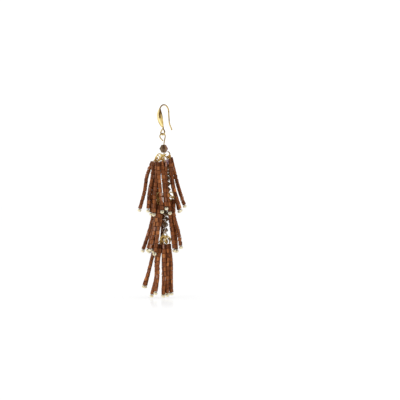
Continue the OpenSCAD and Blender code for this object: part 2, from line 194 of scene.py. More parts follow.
def makeMetal(name, finish):
    material, nodes, links, shader = newMaterial(name, {"Metallic": finish["metal"]})
    effect = addHandling(nodes, links, shader, finish)
    stops = [(0.35, finish["deep"]), (0.6, finish["light"])]
    addRamp(nodes, links, effect.outputs["Patch"], shader.inputs["Base Color"], stops)
    return material


crystalFinish = {
    "smoke": (0.07, 0.034, 0.02),
    "amber": (0.32, 0.19, 0.11),
    "olive": (0.15, 0.09, 0.04),
    "lilac": (0.38, 0.25, 0.3),
    # painted glint: a near-white facet colour that stands in for a highlight
    "paintedGlint": (0.85, 0.76, 0.7),
    "tints": [  # the colour at each tone
        (0.0, "smoke"),
        (0.3, "olive"),
        (0.55, "amber"),
        (0.7, "smoke"),
        (0.8, "lilac"),
        (0.9, "lilac"),
        (1.0, "paintedGlint"),
    ],
    "clear": 0.22,
    "index": 1.5,
    "shine": 0.4,
    "scratches": 6000,
    "patches": 900,
    "polish": 0.01,
    "spread": 0.05,
    "depth": 0.05,
}


# Smoky crystal, whose facets take an amber, olive or lilac tint, or the near-white of a painted glint, by the
# tone that each one carries
def makeCrystal():
    sockets = {
        "Transmission Weight": crystalFinish["clear"],
        "IOR": crystalFinish["index"],
        "Specular IOR Level": crystalFinish["shine"],
    }
    material, nodes, links, shader = newMaterial("smokyCrystal", sockets)
    addHandling(nodes, links, shader, crystalFinish)
    addToneRamp(nodes, links, shader, crystalFinish)
    return material


beadFinish = {
    "dark": (0.05, 0.012, 0.004),
    "brown": (0.138, 0.038, 0.011),
    "rust": (0.26, 0.08, 0.022),
    # painted highlights: orange and rose facet colours that stand in for reflections in the glass
    "orangeHighlight": (0.42, 0.15, 0.04),
    "roseSheen": (0.33, 0.17, 0.12),
    "tints": [(0.0, "dark"), (0.3, "brown"), (0.75, "rust"), (0.9, "orangeHighlight"), (1.0, "roseSheen")],
    "index": 1.5,
    "shine": 0.28,
    "scratches": 5000,
    "patches": 1200,
    "polish": 0.2,
    "spread": 0.2,
    "depth": 0.2,
}


def makeBeadGlass():
    sockets = {"IOR": beadFinish["index"], "Specular IOR Level": beadFinish["shine"]}
    material, nodes, links, shader = newMaterial("brownBeadGlass", sockets)
    addHandling(nodes, links, shader, beadFinish)
    addToneRamp(nodes, links, shader, beadFinish)
    return material


threadFinish = {
    "dark": (0.07, 0.024, 0.009),
    "worn": (0.16, 0.062, 0.024),
    "scratches": 14000,
    "patches": 2500,
    "polish": 0.6,
    "spread": 0.3,
    "depth": 0.6,
    "shine": 0.2,
}
tieFinish = {
    "dark": (0.26, 0.12, 0.025),
    "worn": (0.62, 0.38, 0.1),
    "scratches": 14000,
    "patches": 2500,
    "polish": 0.4,
    "spread": 0.3,
    "depth": 0.5,
    "shine": 0.2,
}


def makeThread(name, finish):
    material, nodes, links, shader = newMaterial(name, {"Specular IOR Level": finish["shine"]})
    effect = addHandling(nodes, links, shader, finish)
    stops = [(0.35, finish["dark"]), (0.65, finish["worn"])]
    addRamp(nodes, links, effect.outputs["Height"], shader.inputs["Base Color"], stops)
    return material


polishedGold = makeMetal("polishedGold", goldFinish)
ringGold = makeMetal("ringGold", ringFinish)
champagneBead = makeMetal("champagneBead", champagneFinish)
smokyCrystal = makeCrystal()
brownBeadGlass = makeBeadGlass()
beadingThread = makeThread("beadingThread", threadFinish)
goldenTie = makeThread("goldenTie", tieFinish)
print("materials made")


# Axes at a point of a path, with Z along it and X carried on from the axes before
def axesAt(point, way, side):
    way = way.normalized()
    side = (side - side.dot(way) * way).normalized()
    front = way.cross(side)
    return Matrix.Translation(point) @ Matrix((side, front, way)).transposed().to_4x4()


def anySide(way):
    return way.cross(Vector((0, 1, 0)) if abs(way.y) < 0.9 * way.length else Vector((1, 0, 0)))


# A round wire or thread along a path, its section extruded from point to point
def sweepWire(bm, path, width, sides, closed=False, side=None):
    path = [p * mm for p in path]
    count = len(path)
    ways = []
    for i in range(count):
        if closed:
            ways.append(path[(i + 1) % count] - path[i - 1])
        else:
            ways.append(path[min(i + 1, count - 1)] - path[max(i - 1, 0)])
    axes = axesAt(path[0], ways[0], side or anySide(ways[0]))
    radius = width / 2 * mm
    section = bmesh.ops.create_circle(bm, cap_ends=False, segments=sides, radius=radius, matrix=axes)["verts"]
    edges = list(dict.fromkeys(e for v in section for e in v.link_edges))
    first = last = edges
    for i in range(1, count):
        grown = bmesh.ops.extrude_edge_only(bm, edges=last)["geom"]
        verts = [g for g in grown if isinstance(g, bmesh.types.BMVert)]
        last = [g for g in grown if isinstance(g, bmesh.types.BMEdge)]
        following = axesAt(path[i], ways[i], axes.to_3x3().col[0])
        bmesh.ops.transform(bm, matrix=following @ axes.inverted(), verts=verts)
        axes = following
    if closed:
        bmesh.ops.bridge_loops(bm, edges=first + last)
    else:
        bmesh.ops.holes_fill(bm, edges=first + last, sides=sides)


# Rounds the corners of a path, so that a bent wire or thread has no mitres
def eased(path, rounds=2):
    for _ in range(rounds):
        cuts = [a.lerp(b, share) for a, b in zip(path, path[1:]) for share in (0.25, 0.75)]
        path = [path[0], *cuts, path[-1]]
    return path


# A closed outline of (distance out, height) points, spun round the upright into a drilled shape
def spinProfile(bm, profile, steps):
    verts = [bm.verts.new((x, 0, z)) for x, z in profile]
    edges = [bm.edges.new((a, b)) for a, b in zip(verts, verts[1:] + verts[:1])]
    bmesh.ops.spin(
        bm,
        geom=verts + edges,
        cent=(0, 0, 0),
        axis=(0, 0, 1),
        angle=2 * math.pi,
        steps=steps,
        use_merge=True,
    )


# Turns a piece set out in the drop's frame into the part's frame, and finishes its object
def finishPiece(bm, name, body, materials, nodes, smoothAngle=None, inDrop=True):
    bmesh.ops.recalc_face_normals(bm, faces=bm.faces)
    if inDrop:
        bmesh.ops.transform(bm, matrix=dropTurn, verts=bm.verts)
    mesh = bpy.data.meshes.new(name)
    bm.to_mesh(mesh)
    bm.free()
    if smoothAngle:
        mesh.polygons.foreach_set("use_smooth", [True] * len(mesh.polygons))
        mesh.set_sharp_from_angle(angle=math.radians(smoothAngle))
    for material in materials:
        mesh.materials.append(material)
    piece = bpy.data.objects.new(name, mesh)
    bpy.context.scene.collection.objects.link(piece)
    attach(piece, body)
    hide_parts(*nodes)


# Ear hook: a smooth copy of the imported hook, merged from its loose triangles
earHook = {"merge": 0.001, "smoothAngle": 38}


def makeEarHook():
    bm = bmesh.new()
    bm.from_mesh(frame["nodes"]["ear_hook"].data)
    bmesh.ops.remove_doubles(bm, verts=bm.verts, dist=earHook["merge"] * mm)
    angle = earHook["smoothAngle"]
    finishPiece(bm, "earHook", "hook", [polishedGold], ["ear_hook"], angle, inDrop=False)


makeEarHook()
print("ear hook made")

# Eye pin: one bent wire with a P-shaped eye above and below the crown crystal
eyePin = {
    "sides": 14,
    "steps": 22,
    "necks": (5, 1.1),  # from the upper eye to the crown crystal, and from there to the lower eye
    "upper": {"radius": 1.75, "stem": 0.8, "lean": 12, "round": 48, "tail": 2, "turn": 25},
    "lower": {"radius": 1.7, "stem": 2.2, "lean": -25, "round": 75, "tail": 0.2, "turn": -20},
}
# The crown crystal, whose places the eyes need. Lilac begins at a share of its half width
crown = {
    "width": 5.3,
    "height": 4.7,
    "table": 2.7,
    "bore": 0.94,
    "sides": 10,
    "rise": 0.04,
    "paintedGlints": 0,
    "lilacFrom": 0.55,
}


# A step sideways at an angle round the upright
def aside(turn, reach):
    return Vector((reach * math.cos(math.radians(turn)), reach * math.sin(math.radians(turn)), 0))


# The upper eye hangs on the hook's loop, and the crown and the lower eye follow down their own stems
def placeEyes():
    upper, lower = eyePin["upper"], eyePin["lower"]
    drop = upper["radius"] - (wires["hook"] + wires["pin"]) / 2 - linkGap
    upper["middle"] = hang - Vector((0, 0, drop))
    down = Vector((0, 0, crown["height"] / 2))
    crown["middle"] = upper["middle"] + aside(upper["turn"], upper["stem"]) - down
    crown["middle"].z -= eyePin["necks"][0]
    lower["middle"] = crown["middle"] + aside(lower["turn"], lower["stem"]) - down
    lower["middle"].z -= eyePin["necks"][1]


def eyePath(eye, flip):
    lean, end, r = math.radians(eye["lean"]), math.radians(eye["round"]), eye["radius"]
    last = (-r * math.cos(end), -r * math.sin(end))
    path = [(last[0] + eye["tail"] * math.sin(end), last[1] - eye["tail"] * math.cos(end))]
    for i in range(eyePin["steps"] + 1):
        angle = math.pi + end - (math.pi + end + lean) * i / eyePin["steps"]
        path.append((r * math.cos(angle), r * math.sin(angle)))
    start = path[-1]
    path.append((eye["stem"], start[1] - (start[0] - eye["stem"]) / math.tan(lean)))
    turned = turnBy(eye["turn"], "Z")
    return [eye["middle"] + turned @ Vector((flip * x, 0, flip * z)) for x, z in path]


def makeEyePin():
    bm = bmesh.new()
    path = eyePath(eyePin["upper"], 1) + eyePath(eyePin["lower"], -1)[::-1]
    sweepWire(bm, eased(path, 1), wires["pin"], eyePin["sides"])
    finishPiece(bm, "eyePin", "drop", [polishedGold], ["eye_pin"], wireSmooth)


placeEyes()
makeEyePin()
print("eye pin made")

# Core wires: a small eye above, the tier's hub eye below
coreWire = {
    "sides": 12,
    "steps": 40,
    "eye": 0.85,
    "hub": 1.6,
    "length": 22.65,
    "leans": [(0.65, 1.4), (-3.3, -0.4)],
    "swings": [0, -30],  # where each small eye hangs, from the lowest point of the eye above
    "eyeTurns": [70, 75],
    "hubTurns": [-15, 10],
    "cut": 2,
    "cutsAt": (-88, 92),  # angles round the small eye and the hub eye, beside the straight run
}
coreCount = len(coreWire["leans"])
hubs = {"middles": [eyePin["lower"]["middle"]], "turns": [eyePin["lower"]["turn"], *coreWire["hubTurns"]]}


def leanWay(lean):
    x, y = math.radians(lean[0]), math.radians(lean[1])
    return Vector((math.sin(x) * math.cos(y), math.sin(y), -math.cos(x) * math.cos(y)))


# Each core hangs by its small eye inside the hub eye above it
def placeCores():
    coreWire["places"] = []
    rooms = [
        eyePin["lower"]["radius"] - (wires["pin"] + wires["core"]) / 2,
        coreWire["hub"] - wires["core"],
    ]
    for i in range(coreCount):
        swing, room = math.radians(coreWire["swings"][i]), rooms[i] - linkGap
        place = hubs["middles"][i] + aside(hubs["turns"][i], room * math.sin(swing))
        place.z -= room * math.cos(swing) + coreWire["eye"]
        coreWire["places"].append(place)
        hubs["middles"].append(place + coreWire["length"] * leanWay(coreWire["leans"][i]))


def onCore(i):
    lean = coreWire["leans"][i]
    return Matrix.Translation(coreWire["places"][i]) @ (turnBy(-lean[0], "Y") @ turnBy(lean[1], "X"))


# A round of wire in an upright plane, closed up to a fine cut
def sweepRound(bm, shape, radius, wire, steps, place, cutAt):
    path = []
    cut = shape["cut"]
    for i in range(steps + 1):
        angle = math.radians(cutAt + cut + (360 - 2 * cut) * i / steps)
        path.append(place @ Vector((radius * math.cos(angle), 0, radius * math.sin(angle))))
    sweepWire(bm, path, wire, shape["sides"])


def makeCoreWire(i):
    bm = bmesh.new()
    place = onCore(i)
    wire, length, steps = wires["core"], coreWire["length"], coreWire["steps"]
    eye = place @ turnBy(coreWire["eyeTurns"][i], "Z")
    hub = place @ Matrix.Translation((0, 0, -length)) @ turnBy(coreWire["hubTurns"][i], "Z")
    sweepRound(bm, coreWire, coreWire["eye"], wire, steps // 2, eye, coreWire["cutsAt"][0])
    sweepRound(bm, coreWire, coreWire["hub"], wire, steps, hub, coreWire["cutsAt"][1])
    run = [place @ Vector((0, 0, z)) for z in (-coreWire["eye"], -length / 2, coreWire["hub"] - length)]
    sweepWire(bm, run, wire, coreWire["sides"])
    node = f"core_wire_{i + 1}"
    finishPiece(bm, f"coreWire{i + 1}", "drop", [polishedGold], [node], wireSmooth)


placeCores()
for i in range(coreCount):
    makeCoreWire(i)
print("core wires made")

# Crystals: drilled stones, each facet crowned a little into four
coreStone = {
    "width": 4,
    "height": 3,
    "table": 1.8,
    "bore": 0.74,
    "sides": 8,
    "rise": 0.07,
    # share of the crowned facets that carry a painted glint
    "paintedGlints": 0.14,
    "top": 1.2,
    "pitch": 3.3,
    "turn": 17,
    "count": 6,
    "lilacFrom": 0.7,
    "topLilacFrom": -1,  # the top stone is lilac all over
}
# the glint tone paints a highlight onto a facet
stoneTones = {"lilac": 0.85, "plain": (0, 0.65), "spread": 0.05, "paintedGlint": 1}


# Faces sorted by their places, because a spin hands them over in an order that changes from run to run
def inOrder(faces):
    return sorted(faces, key=lambda face: [round(c, 4) for c in face.calc_center_median()])


# One stone, whose facets from the share of its width given by lilacFrom and on to the right are lilac, and a
# share of whose crowned facets carry painted glints
def addStone(bm, stone, place, lilacFrom):
    bore, table, girdle, half = (stone[k] / 2 for k in ("bore", "table", "width", "height"))
    tone = bm.faces.layers.float.get("facetTone") or bm.faces.layers.float.new("facetTone")
    before = set(bm.verts)
    spinProfile(bm, [(bore, half), (table, half), (girdle, 0), (table, -half), (bore, -half)], stone["sides"])
    made = [v for v in bm.verts if v not in before]
    faces = inOrder({f for v in made for f in v.link_faces})
    bmesh.ops.recalc_face_normals(bm, faces=faces)
    sloping = [f for f in faces if 0.2 < abs(f.normal.z) < 0.98]  # neither the bore nor the tables
    for face in faces:
        right = face.calc_center_median().x > lilacFrom * girdle
        face[tone] = stoneTones["lilac"] if right else random.uniform(*stoneTones["plain"])
    crowned = bmesh.ops.poke(bm, faces=sloping, offset=stone["rise"], center_mode="MEAN")["faces"]
    for face in inOrder(crowned):
        # painted glints: a few crowned facets turned near-white to stand for highlights
        if random.random() < stone["paintedGlints"]:
            face[tone] = stoneTones["paintedGlint"]
        else:
            face[tone] = face[tone] + random.uniform(-stoneTones["spread"], stoneTones["spread"])
    made = [v for v in bm.verts if v not in before]
    bmesh.ops.transform(bm, matrix=Matrix.Scale(mm, 4) @ place, verts=made)


def makeCrystals():
    bm = bmesh.new()
    addStone(bm, crown, Matrix.Translation(crown["middle"]), crown["lilacFrom"])
    finishPiece(bm, "crownCrystal", "drop", [smokyCrystal], ["crown_crystal"])
    for i in range(coreCount):
        bm = bmesh.new()
        for k in range(coreStone["count"]):
            down = coreStone["top"] + coreStone["height"] / 2 + k * coreStone["pitch"]
            turned = turnBy(coreStone["turn"] * k, "Z")
            lilacFrom = coreStone["topLilacFrom" if k == 0 else "lilacFrom"]
            addStone(bm, coreStone, onCore(i) @ Matrix.Translation((0, 0, -down)) @ turned, lilacFrom)
        node = f"core_crystals_{i + 1}"
        finishPiece(bm, f"coreCrystals{i + 1}", "drop", [smokyCrystal], [node])


makeCrystals()
print("crystals made")

# Jump rings: round wire closed at a fine cut
jumpRing = {
    "radius": 1.775,
    "sides": 14,
    "steps": 44,
    "cut": 1,
    "cutsAt": (20, 160),  # each ring's cut is somewhere between these angles, near its top
}
# Rings of each tier: x, y and z from the hub in shares of the ring's radius, then tilt and turn
ringPlaces = [
    [
        (-1.32, 0.10, -0.33, 65, 85),
        (-2.62, 0.15, -0.79, 5, 15),
        (-3.29, 0.32, -1.35, -5, -45),
        (-1.55, -0.97, -0.95, -20, 60),
    ],
    [
        (-1.35, 0.06, 0.06, 65, 10),
        (-2.82, -0.28, -0.11, 0, 20),
        (1.30, 0.23, 0.11, 15, -40),
        (0.96, 0.23, -0.85, -15, 55),
    ],
    [
        (-0.45, -0.85, -0.96, 25, 10),
        (0.34, -0.11, -1.30, -20, 75),
        (1.24, 0.17, -0.56, 50, -65),
        (-0.68, 0.23, -0.62, 30, 65),
    ],
]


def ringMiddle(tier, i):
    x, y, z = ringPlaces[tier][i][:3]
    return hubs["middles"][tier] + jumpRing["radius"] * Vector((x, y, z))


def makeRing(tier, i):
    bm = bmesh.new()
    tilt, turn = ringPlaces[tier][i][3:]
    place = Matrix.Translation(ringMiddle(tier, i)) @ turnBy(turn, "Z") @ turnBy(tilt, "X")
    cutAt = random.uniform(*jumpRing["cutsAt"])
    sweepRound(bm, jumpRing, jumpRing["radius"], wires["ring"], jumpRing["steps"], place, cutAt)
    node = f"t{tier + 1}_ring_{i + 1}"
    finishPiece(bm, f"tier{tier + 1}Ring{i + 1}", "drop", [ringGold], [node], wireSmooth)


for tier in range(len(ringPlaces)):
    for i in range(len(ringPlaces[tier])):
        makeRing(tier, i)
print("jump rings made")

# Strands: hex-cut tube beads on a thread, each stopped by a champagne seed bead
tubeBead = {
    "sides": 6,
    "width": 2.42,
    "length": 2.62,
    "bore": 0.7,
    "chamfer": 0.16,
    "corner": 0.17,
    "gap": 0.06,
    "rise": 0.6,  # how far the top bead reaches above the strand's first point
    "kink": 5.5,  # spread of the angles by which beads lean out of line
    "kinkWays": 6.283,  # and they lean any way round, in radians
    "roll": 9,  # each bead is rolled by up to this from the one above
    "shades": (0.3, 0.65),
    "paintedTierLight": 0.08,  # added for each tier below the first: painted light, the lower and more open tiers shown brighter, with more orange highlights
    "topShade": 0.22,
    "paintedEndShade": 0.25,  # of the cut ends and the bore, darkened: painted shade in the gaps between beads and in the holes
    "facetSpread": (-0.25, 0.2),
    # a rare dark tone, then the orange and rose of painted highlights
    "rareTonesAndHighlights": (0.1, 0.9, 1),
    "toneWeights": (84, 8, 5, 3),  # of a facet's own tone, of the rare dark tone, and of the orange and rose painted highlights
}
thread = {
    "sides": 6,
    "inner": 0.66,  # width inside the tube beads
    "every": 6,  # it takes every sixth point of the strand's line
    "width": 0.4,  # of the ties
    "wrap": 0.02,
    "wrapSteps": 14,
    "spread": 14,  # angle between the two wraps, round the ring
    "clear": 0.1,
    "down": (-0.4, 0.6),  # steps from the strand's first point: just above it, and inside the top bead
    "fine": 0.26,  # width of the loop through the stop bead
    "into": 0.3,
    "knot": 0.42,
    "knotted": 0.35,  # share of the loops that show a knot
    "knotShape": (1, 0.8, 1.2),
}
stopBead = {"width": 2.25, "thick": 1.45, "hole": 0.42, "steps": 16, "smoothAngle": 50}
# Strands of each tier: ring, or 0 for the hub eye, then the angle of the tie, the tilt of the stop bead,
# and the route down the strand
strandRoutes = [
    [
        (3, -45, 10, [(-7.2, -0.5, -4.8), (-10.3, -1, -13.2), (-11.7, -1.2, -22.2), (-14.5, -1, -32.5)]),
        (2, -60, 30, [(-6.3, -3.2, -5.1), (-7, -4.2, -13.8), (-8.7, -4.5, -22.8), (-9.4, -4.5, -32.5)]),
        (3, 5, 15, [(-4.6, -1.4, -5.6), (-5.6, -2.2, -14.4), (-7, -2.8, -24), (-7.6, -3, -34.7)]),
        (4, -50, 60, [(-4.4, -4.6, -4.8), (-4.5, -5.8, -14.4), (-5.3, -6.4, -24), (-5.9, -6.2, -34.7)]),
        (4, -75, 70, [(-3.3, -6.7, -5.4), (-2.8, -7.8, -14.4), (-1.9, -8, -23.4), (-1.1, -7.7, -33)]),
        (4, -25, 35, [(-1.2, -5.6, -4.8), (-0.4, -7, -13.2), (0.4, -7.4, -21.6), (1.4, -7.5, -31.1)]),
        (4, 10, 80, [(0.9, -4.6, -5.4), (1.1, -4.9, -15), (2.1, -5.4, -24), (3.4, -5.9, -33.9)]),
        (0, 50, 15, [(3.7, -4.2, -3.3), (4.6, -4.3, -12), (6.1, -4.4, -21), (9.6, -4.4, -32.5)]),
        (0, 66, 5, [(4.2, 0.8, -2.3), (6.4, 0.6, -11.4), (9, 0.3, -21), (12.1, 0, -30.3)]),
        (3, -70, 25, [(-5.3, 2.4, -5.4), (-5.8, 3.2, -15), (-5.9, 4.6, -24), (-6.4, 5.9, -33.3)]),
        (1, 60, 0, [(-2.9, 4.2, -5.4), (-3.2, 5.2, -15), (-3.5, 5.8, -24), (-3.5, 6.4, -33.3)]),
        (1, 90, 40, [(-0.2, 4.4, -5.4), (0.1, 5.8, -15), (0.4, 6.6, -24), (0.8, 6.9, -33.3)]),
        (0, 30, 10, [(2.8, 4, -5.4), (4.2, 4, -15), (6.4, 3.6, -24), (8.9, 3.4, -33.3)]),
    ],
    [
        (2, -60, 10, [(-5, 1, -4.8), (-6.9, 0.2, -13.8), (-9.3, -0.3, -22.8), (-12.5, -0.5, -32.4)]),
        (2, -25, 20, [(-4.8, -1.3, -5.4), (-5.4, -2.2, -14.4), (-7.1, -2.6, -22.8), (-9.4, -2.8, -31.9)]),
        (2, 0, 5, [(-4.1, -3.6, -6), (-4.7, -4.6, -15), (-6.2, -5.2, -24), (-8, -5.4, -31.9)]),
        (2, 25, 75, [(-2.9, -5.6, -6.6), (-3.2, -6.6, -15.6), (-3.9, -7, -24.6), (-5.3, -7, -33.7)]),
        (2, 50, 30, [(-1.6, -3.6, -6.6), (-2.3, -4.2, -15.6), (-4.3, -3.9, -24), (-6, -4, -32.2)]),
        (4, -50, 25, [(3.5, -3.4, -4.2), (3.6, -3.4, -13.2), (4.9, -3.4, -22.2), (6.1, -3.6, -31.9)]),
        (4, 0, 65, [(4.6, -0.2, -4.4), (5.4, -0.5, -13.2), (6.7, -0.6, -22.8), (7.3, -0.6, -31.9)]),
        (3, 45, 10, [(5.8, -2.6, -3), (6, -3, -12.6), (8.5, -3.2, -21.6), (10, -3, -30.2)]),
        (4, 45, 15, [(3.7, 2.4, -5), (4.6, 2.4, -14), (6.2, 2.6, -23), (7.4, 2, -32.5)]),
        (1, 20, 60, [(-0.2, 4.2, -5), (-0.6, 5, -14), (-1.2, 5.4, -23), (-1.8, 5.4, -32.5)]),
        (1, -10, 0, [(-2.9, 3.4, -5), (-3.2, 4.2, -14), (-4, 4.8, -23), (-5.4, 5.4, -32.5)]),
        (1, -45, 35, [(-5.2, 3.3, -5), (-5.9, 3.2, -14), (-7.4, 2.6, -23), (-8.8, 1.8, -32.5)]),
    ],
    [
        (4, 0, 5, [(-4.8, 0.6, -5.4), (-7.3, -0.6, -13.8), (-9.3, -0.8, -21.6), (-12, -0.8, -29.6)]),
        (4, -40, 10, [(-4, -1.8, -6), (-4.6, -3.6, -15), (-4.7, -4.2, -24.6), (-7.2, -4.2, -34.9)]),
        (1, -40, 15, [(-2, -3.4, -5.8), (-3.4, -5.8, -15.6), (-3.7, -6.3, -24.6), (-4.9, -6.2, -33.2)]),
        (1, 0, 10, [(0, -4.6, -5.8), (0.1, -6.2, -16.2), (0.1, -6.8, -25.2), (-0.4, -7, -34.9)]),
        (2, -40, 20, [(2, -3.4, -5.8), (2.3, -4.8, -15.6), (2, -5.4, -24.6), (2, -5.6, -34.2)]),
        (3, 0, 5, [(3.1, -1, -5.8), (4.2, -2.6, -15.6), (4.3, -3.2, -24.6), (4.5, -3.4, -33.8)]),
        (2, 0, 40, [(-0.4, -1.4, -6.6), (-0.3, -3.6, -15.6), (-0.2, -4.2, -24.6), (-0.4, -4.4, -33.6)]),
        (2, 50, 0, [(1, 0.8, -6.6), (1, 1, -15.6), (1, 1.2, -24.6), (1, 1.2, -33.4)]),
        (3, -40, 25, [(3.1, 1.6, -5.4), (3.4, 2, -14.6), (3.4, 2.2, -24), (3.4, 2.2, -33.4)]),
        (4, 40, 15, [(-3.2, 3.2, -5.6), (-3.8, 3.2, -13.6), (-4.4, 2.8, -21.6), (-4.8, 2.4, -29.9)]),
        (2, 80, 50, [(0.2, 3.6, -5.6), (0.2, 4.2, -14.6), (0.2, 4.6, -23.6), (0.2, 4.6, -33)]),
        (4, 20, 0, [(-5.6, 2.9, -5.4), (-7.4, 2.6, -13.8), (-9.2, 2.4, -21.6), (-11.2, 2.2, -29.9)]),
    ],
]


# A bead of unit length, set upright, for copying along the strands
def makeTubeTemplate():
    bm = bmesh.new()
    r, half, bore, c = tubeBead["width"] / 2, 0.5, tubeBead["bore"] / 2, tubeBead["chamfer"]
    upper = [(bore, half), (r - c, half), (r, half - c / tubeBead["length"])]
    spinProfile(bm, upper + [(x, -z) for x, z in reversed(upper)], tubeBead["sides"])
    corners = [
        e
        for e in bm.edges
        if abs(e.verts[0].co.z - e.verts[1].co.z) > half and e.verts[0].co.to_2d().length > r - c / 2
    ]
    bmesh.ops.bevel(
        bm,
        geom=corners,
        offset=tubeBead["corner"],
        affect="EDGES",
        segments=1,
        profile=0.5,
        material=-1,
    )
    return finishTemplate(bm, "tubeTemplate")


def makeStopTemplate():
    bm = bmesh.new()
    r, half, hole = stopBead["width"] / 2, stopBead["thick"] / 2, stopBead["hole"] / 2
    upper = [
        (hole, 0.55 * half),
        (hole + 0.1, 0.9 * half),
        (0.6 * r, half),
        (0.85 * r, 0.85 * half),
        (r, 0.4 * half),
    ]
    spinProfile(bm, upper + [(x, -z) for x, z in reversed(upper)], stopBead["steps"])
    return finishTemplate(bm, "stopTemplate")


def finishTemplate(bm, name):
    bmesh.ops.recalc_face_normals(bm, faces=bm.faces)
    mesh = bpy.data.meshes.new(name)
    bm.to_mesh(mesh)
    bm.free()
    return mesh


tubeTemplate, stopTemplate = makeTubeTemplate(), makeStopTemplate()


# The smooth curve through a strand's route points, finely cut, as in the part's source
def strandLine(route, cuts=24):
    line = []
    for i in range(len(route) - 1):
        b, c = route[i], route[i + 1]
        a = route[i - 1] if i > 0 else 2 * route[0] - route[1]
        d = route[i + 2] if i < len(route) - 2 else 2 * route[i + 1] - route[i]
        for k in range(cuts):
            t = k / cuts
            square, cube = 2 * a - 5 * b + 4 * c - d, 3 * b - a - 3 * c + d
            line.append(0.5 * (2 * b + (c - a) * t + square * t**2 + cube * t**3))
    return line + [route[-1]]


# The point at a distance along a line, and the way that it runs there
def alongLine(line, distance):
    for a, b in zip(line, line[1:]):
        step = (b - a).length
        if distance <= step:
            return a.lerp(b, distance / step), (b - a).normalized()
        distance -= step
    return line[-1].copy(), (line[-1] - line[-2]).normalized()


# The tube beads along a strand's line, each a little out of line and with a tone on each facet: a few facets
# painted orange and rose as highlights, and the cut ends and bore darkened as painted shade
def addTubes(bm, line, tier):
    tone = bm.faces.layers.float.new("facetTone")
    length = sum((b - a).length for a, b in zip(line, line[1:]))
    count = round(length / tubeBead["length"])
    pitch = length / count
    roll = random.uniform(0, 360)
    for i in range(count):
        place, way = alongLine(line, (i + 0.5) * pitch)
        kink = turnBy(random.gauss(0, tubeBead["kink"]), anySide(way).normalized())
        kink = Matrix.Rotation(random.uniform(0, tubeBead["kinkWays"]), 4, way) @ kink
        roll += random.uniform(-tubeBead["roll"], tubeBead["roll"])
        axes = axesAt(place * mm, kink @ way, anySide(way))
        size = Matrix.Diagonal((mm, mm, (pitch - tubeBead["gap"]) * mm, 1))
        start, before = len(bm.verts), len(bm.faces)
        bm.from_mesh(tubeTemplate)
        bm.verts.ensure_lookup_table()
        bm.faces.ensure_lookup_table()
        verts = bm.verts[start:]
        if i > 0:
            # painted light: the lower tiers are made lighter
            shade = random.uniform(*tubeBead["shades"]) + tubeBead["paintedTierLight"] * tier
        else:
            shade = tubeBead["topShade"]
        for face in bm.faces[before:]:
            middle = face.calc_center_median()
            outer = abs(middle.z) < 0.1 and middle.to_2d().length > 0.6 * tubeBead["width"] / 2
            if outer:  # a facet, neither a cut end nor the bore
                own = shade + random.uniform(*tubeBead["facetSpread"])
                # a few facets take the orange and rose of painted highlights
                face[tone] = random.choices([own, *tubeBead["rareTonesAndHighlights"]], tubeBead["toneWeights"])[0]
            else:
                # cut ends and bore darkened as painted shade
                face[tone] = tubeBead["paintedEndShade"]
        bmesh.ops.transform(bm, matrix=axes @ turnBy(roll, "Z") @ size, verts=verts)


# A step from a round eye's or ring's middle, at an angle round it from its lowest point
def onRing(tilt, turn, angle):
    step = Vector((math.sin(math.radians(angle)), 0, -math.cos(math.radians(angle))))
    return turnBy(turn, "Z") @ turnBy(tilt, "X") @ step


# The thread from its wrap round the ring's wire down into the top bead
def addTie(bm, tier, row, line):
    ring, angle = row[:2]
    if ring:
        middle, (tilt, turn) = ringMiddle(tier, ring - 1), ringPlaces[tier][ring - 1][3:]
        radius, wire = jumpRing["radius"], wires["ring"]
    else:
        middle, tilt, turn = hubs["middles"][tier], 0, hubs["turns"][tier]
        radius, wire = eyePin["lower"]["radius"], wires["pin"]
    reach = (wire + thread["width"]) / 2
    way = (line[1] - line[0]).normalized()
    above, inside = (line[0] + step * way for step in thread["down"])
    turns = [2 * math.pi * k / thread["wrapSteps"] for k in range(thread["wrapSteps"])]
    for along in (-thread["spread"] / 2, thread["spread"] / 2):
        out = onRing(tilt, turn, angle + along)
        normal = onRing(tilt, turn, angle + along + 90).cross(out).normalized()
        onWire = middle + out * radius
        rim = reach + thread["wrap"]
        wrap = [onWire + (out * math.cos(a) + normal * math.sin(a)) * rim for a in turns]
        sweepWire(bm, wrap, thread["width"], thread["sides"], closed=True)
        down = eased([onWire + out * (reach + thread["clear"]), above, inside])
        sweepWire(bm, down, thread["width"], thread["sides"])


# Where a strand's stop bead hangs, and how it is turned: its hole leans towards the tassel's front
def stopPlace(route, tilt):
    way = (route[-1] - route[-2]).normalized()
    lean = math.radians(tilt)
    reach = (stopBead["thick"] * math.cos(lean) + stopBead["width"] * math.sin(lean)) / 2
    aslant = Matrix.Rotation(math.atan2(-way.x, -way.z), 4, "Y")
    leaning = Matrix.Rotation(math.asin(way.y) + lean, 4, "X")
    return Matrix.Translation(route[-1] + (linkGap + reach) * way) @ (aslant @ leaning), reach


# The fine thread that comes down from the last tube, through the stop bead and back up round its rim
def addStopLoop(bm, place, reach, tilt):
    r, half, off = stopBead["width"] / 2, stopBead["thick"] / 2, thread["fine"] / 2
    c, s = math.cos(math.radians(tilt)), math.sin(math.radians(tilt))
    top = reach + linkGap + thread["into"]
    loop = [  # depth and height across the bead
        (top * s, top * c),
        (0.6 * r * s, half + off),
        (0, half),
        (0, -half),
        (0.6 * r, -half - off),
        (r + off, -0.6 * half),
        (r + off, 0.6 * half * c),
        ((0.7 + 0.3 * s) * r + off * s, (half + off) * c),
    ]
    path = eased([place @ Vector((0, y, z)) for y, z in loop + loop[:1]], 1)[:-1]
    sweepWire(bm, path, thread["fine"], thread["sides"], True, place.to_3x3().col[0])
    if random.random() < thread["knotted"]:
        knot = place @ Matrix.Translation((random.uniform(-0.3, 0.3) * r, r + off, -0.3 * half))
        size = Matrix.Diagonal((mm, mm, mm, 1)) @ knot @ Matrix.Diagonal((*thread["knotShape"], 1))
        bmesh.ops.create_icosphere(bm, subdivisions=1, radius=thread["knot"], matrix=size)


